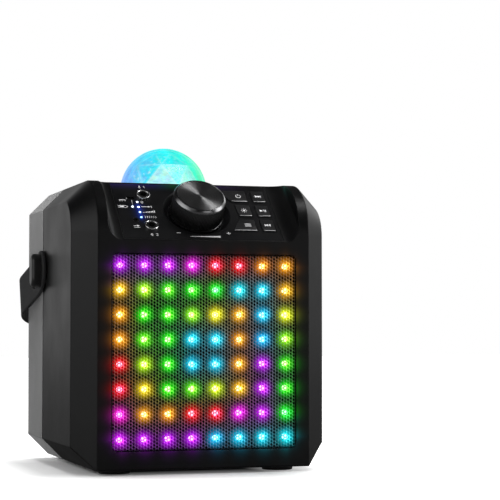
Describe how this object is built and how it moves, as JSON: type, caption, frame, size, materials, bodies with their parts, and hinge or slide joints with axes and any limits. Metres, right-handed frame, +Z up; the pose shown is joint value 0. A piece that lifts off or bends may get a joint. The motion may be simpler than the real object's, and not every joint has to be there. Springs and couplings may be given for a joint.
{
  "type": "karaoke machine",
  "caption": "Cube-shaped karaoke speaker with a lit perforated grille, sloping control panel with a large knob, light dome on top and a swinging carry strap.",
  "frame": {"origin": "middle of the whole object's outline seen from above, at the level that the feet stand on", "axes": "+X to the right seen from the front, +Y to the back, +Z up; the grille faces -Y"},
  "size_m": [0.2594, 0.2726, 0.3032],
  "materials": {
    "cabinet": "satin",
    "inner_plastic": "matte",
    "panel": "fine grain",
    "grille": "powder coat",
    "lamp": "gloss",
    "circuit_board": "satin",
    "basket": "satin",
    "cone_paper": "matte",
    "magnet": "satin",
    "screw": "satin",
    "steel": "satin",
    "chrome": "polished",
    "button": "satin",
    "knob": "satin",
    "knob_metal": "spun",
    "socket_plastic": "satin",
    "light_pipe": "clear",
    "clear_plastic": "clear",
    "lens": "clear",
    "rubber": "matte",
    "lug": "satin",
    "strap": "matte",
    "battery": "gloss"
  },
  "bodies": {
    "cabinet": {"front_shell": "cabinet", "rear_shell": "cabinet", "case_screws": "screw", "foot_screws": "screw", "foot_front_left": "rubber", "foot_front_right": "rubber", "foot_rear_left": "rubber", "foot_rear_right": "rubber", "grille": "grille", "lamp_frame": "inner_plastic", "lamp_board": "circuit_board", "lamps": "lamp", "speaker_baffle": "inner_plastic", "speaker_basket": "basket", "speaker_surround": "rubber", "speaker_magnet": "magnet", "speaker_screws": "screw", "control_panel": "panel", "control_board": "circuit_board", "switches": "socket_plastic", "encoder": "socket_plastic", "mic_socket_1": "socket_plastic", "mic_socket_2": "socket_plastic", "mic_nut_1": "chrome", "mic_nut_2": "chrome", "line_socket": "socket_plastic", "charge_socket": "steel", "indicator_lights": "light_pipe", "dome_cover": "clear_plastic", "dome_collar": "cabinet", "dome_tray": "inner_plastic", "dome_board": "circuit_board", "dome_motor": "steel", "strap_lug_left": "lug", "strap_lug_right": "lug", "battery_pack": "battery", "amplifier_board": "circuit_board"},
    "power_button": {"power_button": "button"},
    "light_button": {"light_button": "button"},
    "mode_button": {"mode_button": "button"},
    "next_button": {"next_button": "button"},
    "play_button": {"play_button": "button"},
    "previous_button": {"previous_button": "button"},
    "encoder_plunger": {"encoder_plunger": "steel"},
    "volume_knob": {"volume_knob": "knob", "knob_cap": "knob_metal", "knob_shaft": "steel"},
    "lens": {"lens": "lens", "rotor_shaft": "steel"},
    "carry_strap": {"carry_strap": "strap"},
    "speaker_cone": {"speaker_cone": "cone_paper", "speaker_dust_cap": "cone_paper"}
  },
  "joints": [
    {"name": "power_press", "type": "slide", "parent": "cabinet", "child": "power_button", "axis": [0, 0.682, -0.7314], "range_m": [0, 0.0008], "stiffness_N_per_m": 400, "springref_m": -0.00003},
    {"name": "light_press", "type": "slide", "parent": "cabinet", "child": "light_button", "axis": [0, 0.682, -0.7314], "range_m": [0, 0.0008], "stiffness_N_per_m": 400, "springref_m": -0.00003},
    {"name": "mode_press", "type": "slide", "parent": "cabinet", "child": "mode_button", "axis": [0, 0.682, -0.7314], "range_m": [0, 0.0008], "stiffness_N_per_m": 400, "springref_m": -0.00003},
    {"name": "next_press", "type": "slide", "parent": "cabinet", "child": "next_button", "axis": [0, 0.682, -0.7314], "range_m": [0, 0.0008], "stiffness_N_per_m": 400, "springref_m": -0.00003},
    {"name": "play_press", "type": "slide", "parent": "cabinet", "child": "play_button", "axis": [0, 0.682, -0.7314], "range_m": [0, 0.0008], "stiffness_N_per_m": 400, "springref_m": -0.00003},
    {"name": "previous_press", "type": "slide", "parent": "cabinet", "child": "previous_button", "axis": [0, 0.682, -0.7314], "range_m": [0, 0.0008], "stiffness_N_per_m": 400, "springref_m": -0.00003},
    {"name": "knob_press", "type": "slide", "parent": "cabinet", "child": "encoder_plunger", "axis": [0, 0.682, -0.7314], "range_m": [0, 0.0008], "stiffness_N_per_m": 1500, "springref_m": -0.0002},
    {"name": "knob_turn", "type": "hinge", "parent": "encoder_plunger", "child": "volume_knob", "pos_m": [0, -0.10673, 0.2336], "axis": [0, -0.682, 0.7314], "continuous": true},
    {"name": "lens_spin", "type": "hinge", "parent": "cabinet", "child": "lens", "pos_m": [0, 0.01168, 0.2612], "axis": [0, 0, 1], "continuous": true},
    {"name": "strap_swing", "type": "hinge", "parent": "cabinet", "child": "carry_strap", "pos_m": [0, 0.01268, 0.183], "axis": [1, 0, 0], "range_deg": [0, 110]},
    {"name": "cone_stroke", "type": "slide", "parent": "cabinet", "child": "speaker_cone", "axis": [0, -1, 0], "range_m": [-0.002, 0.002], "stiffness_N_per_m": 800}
  ]
}
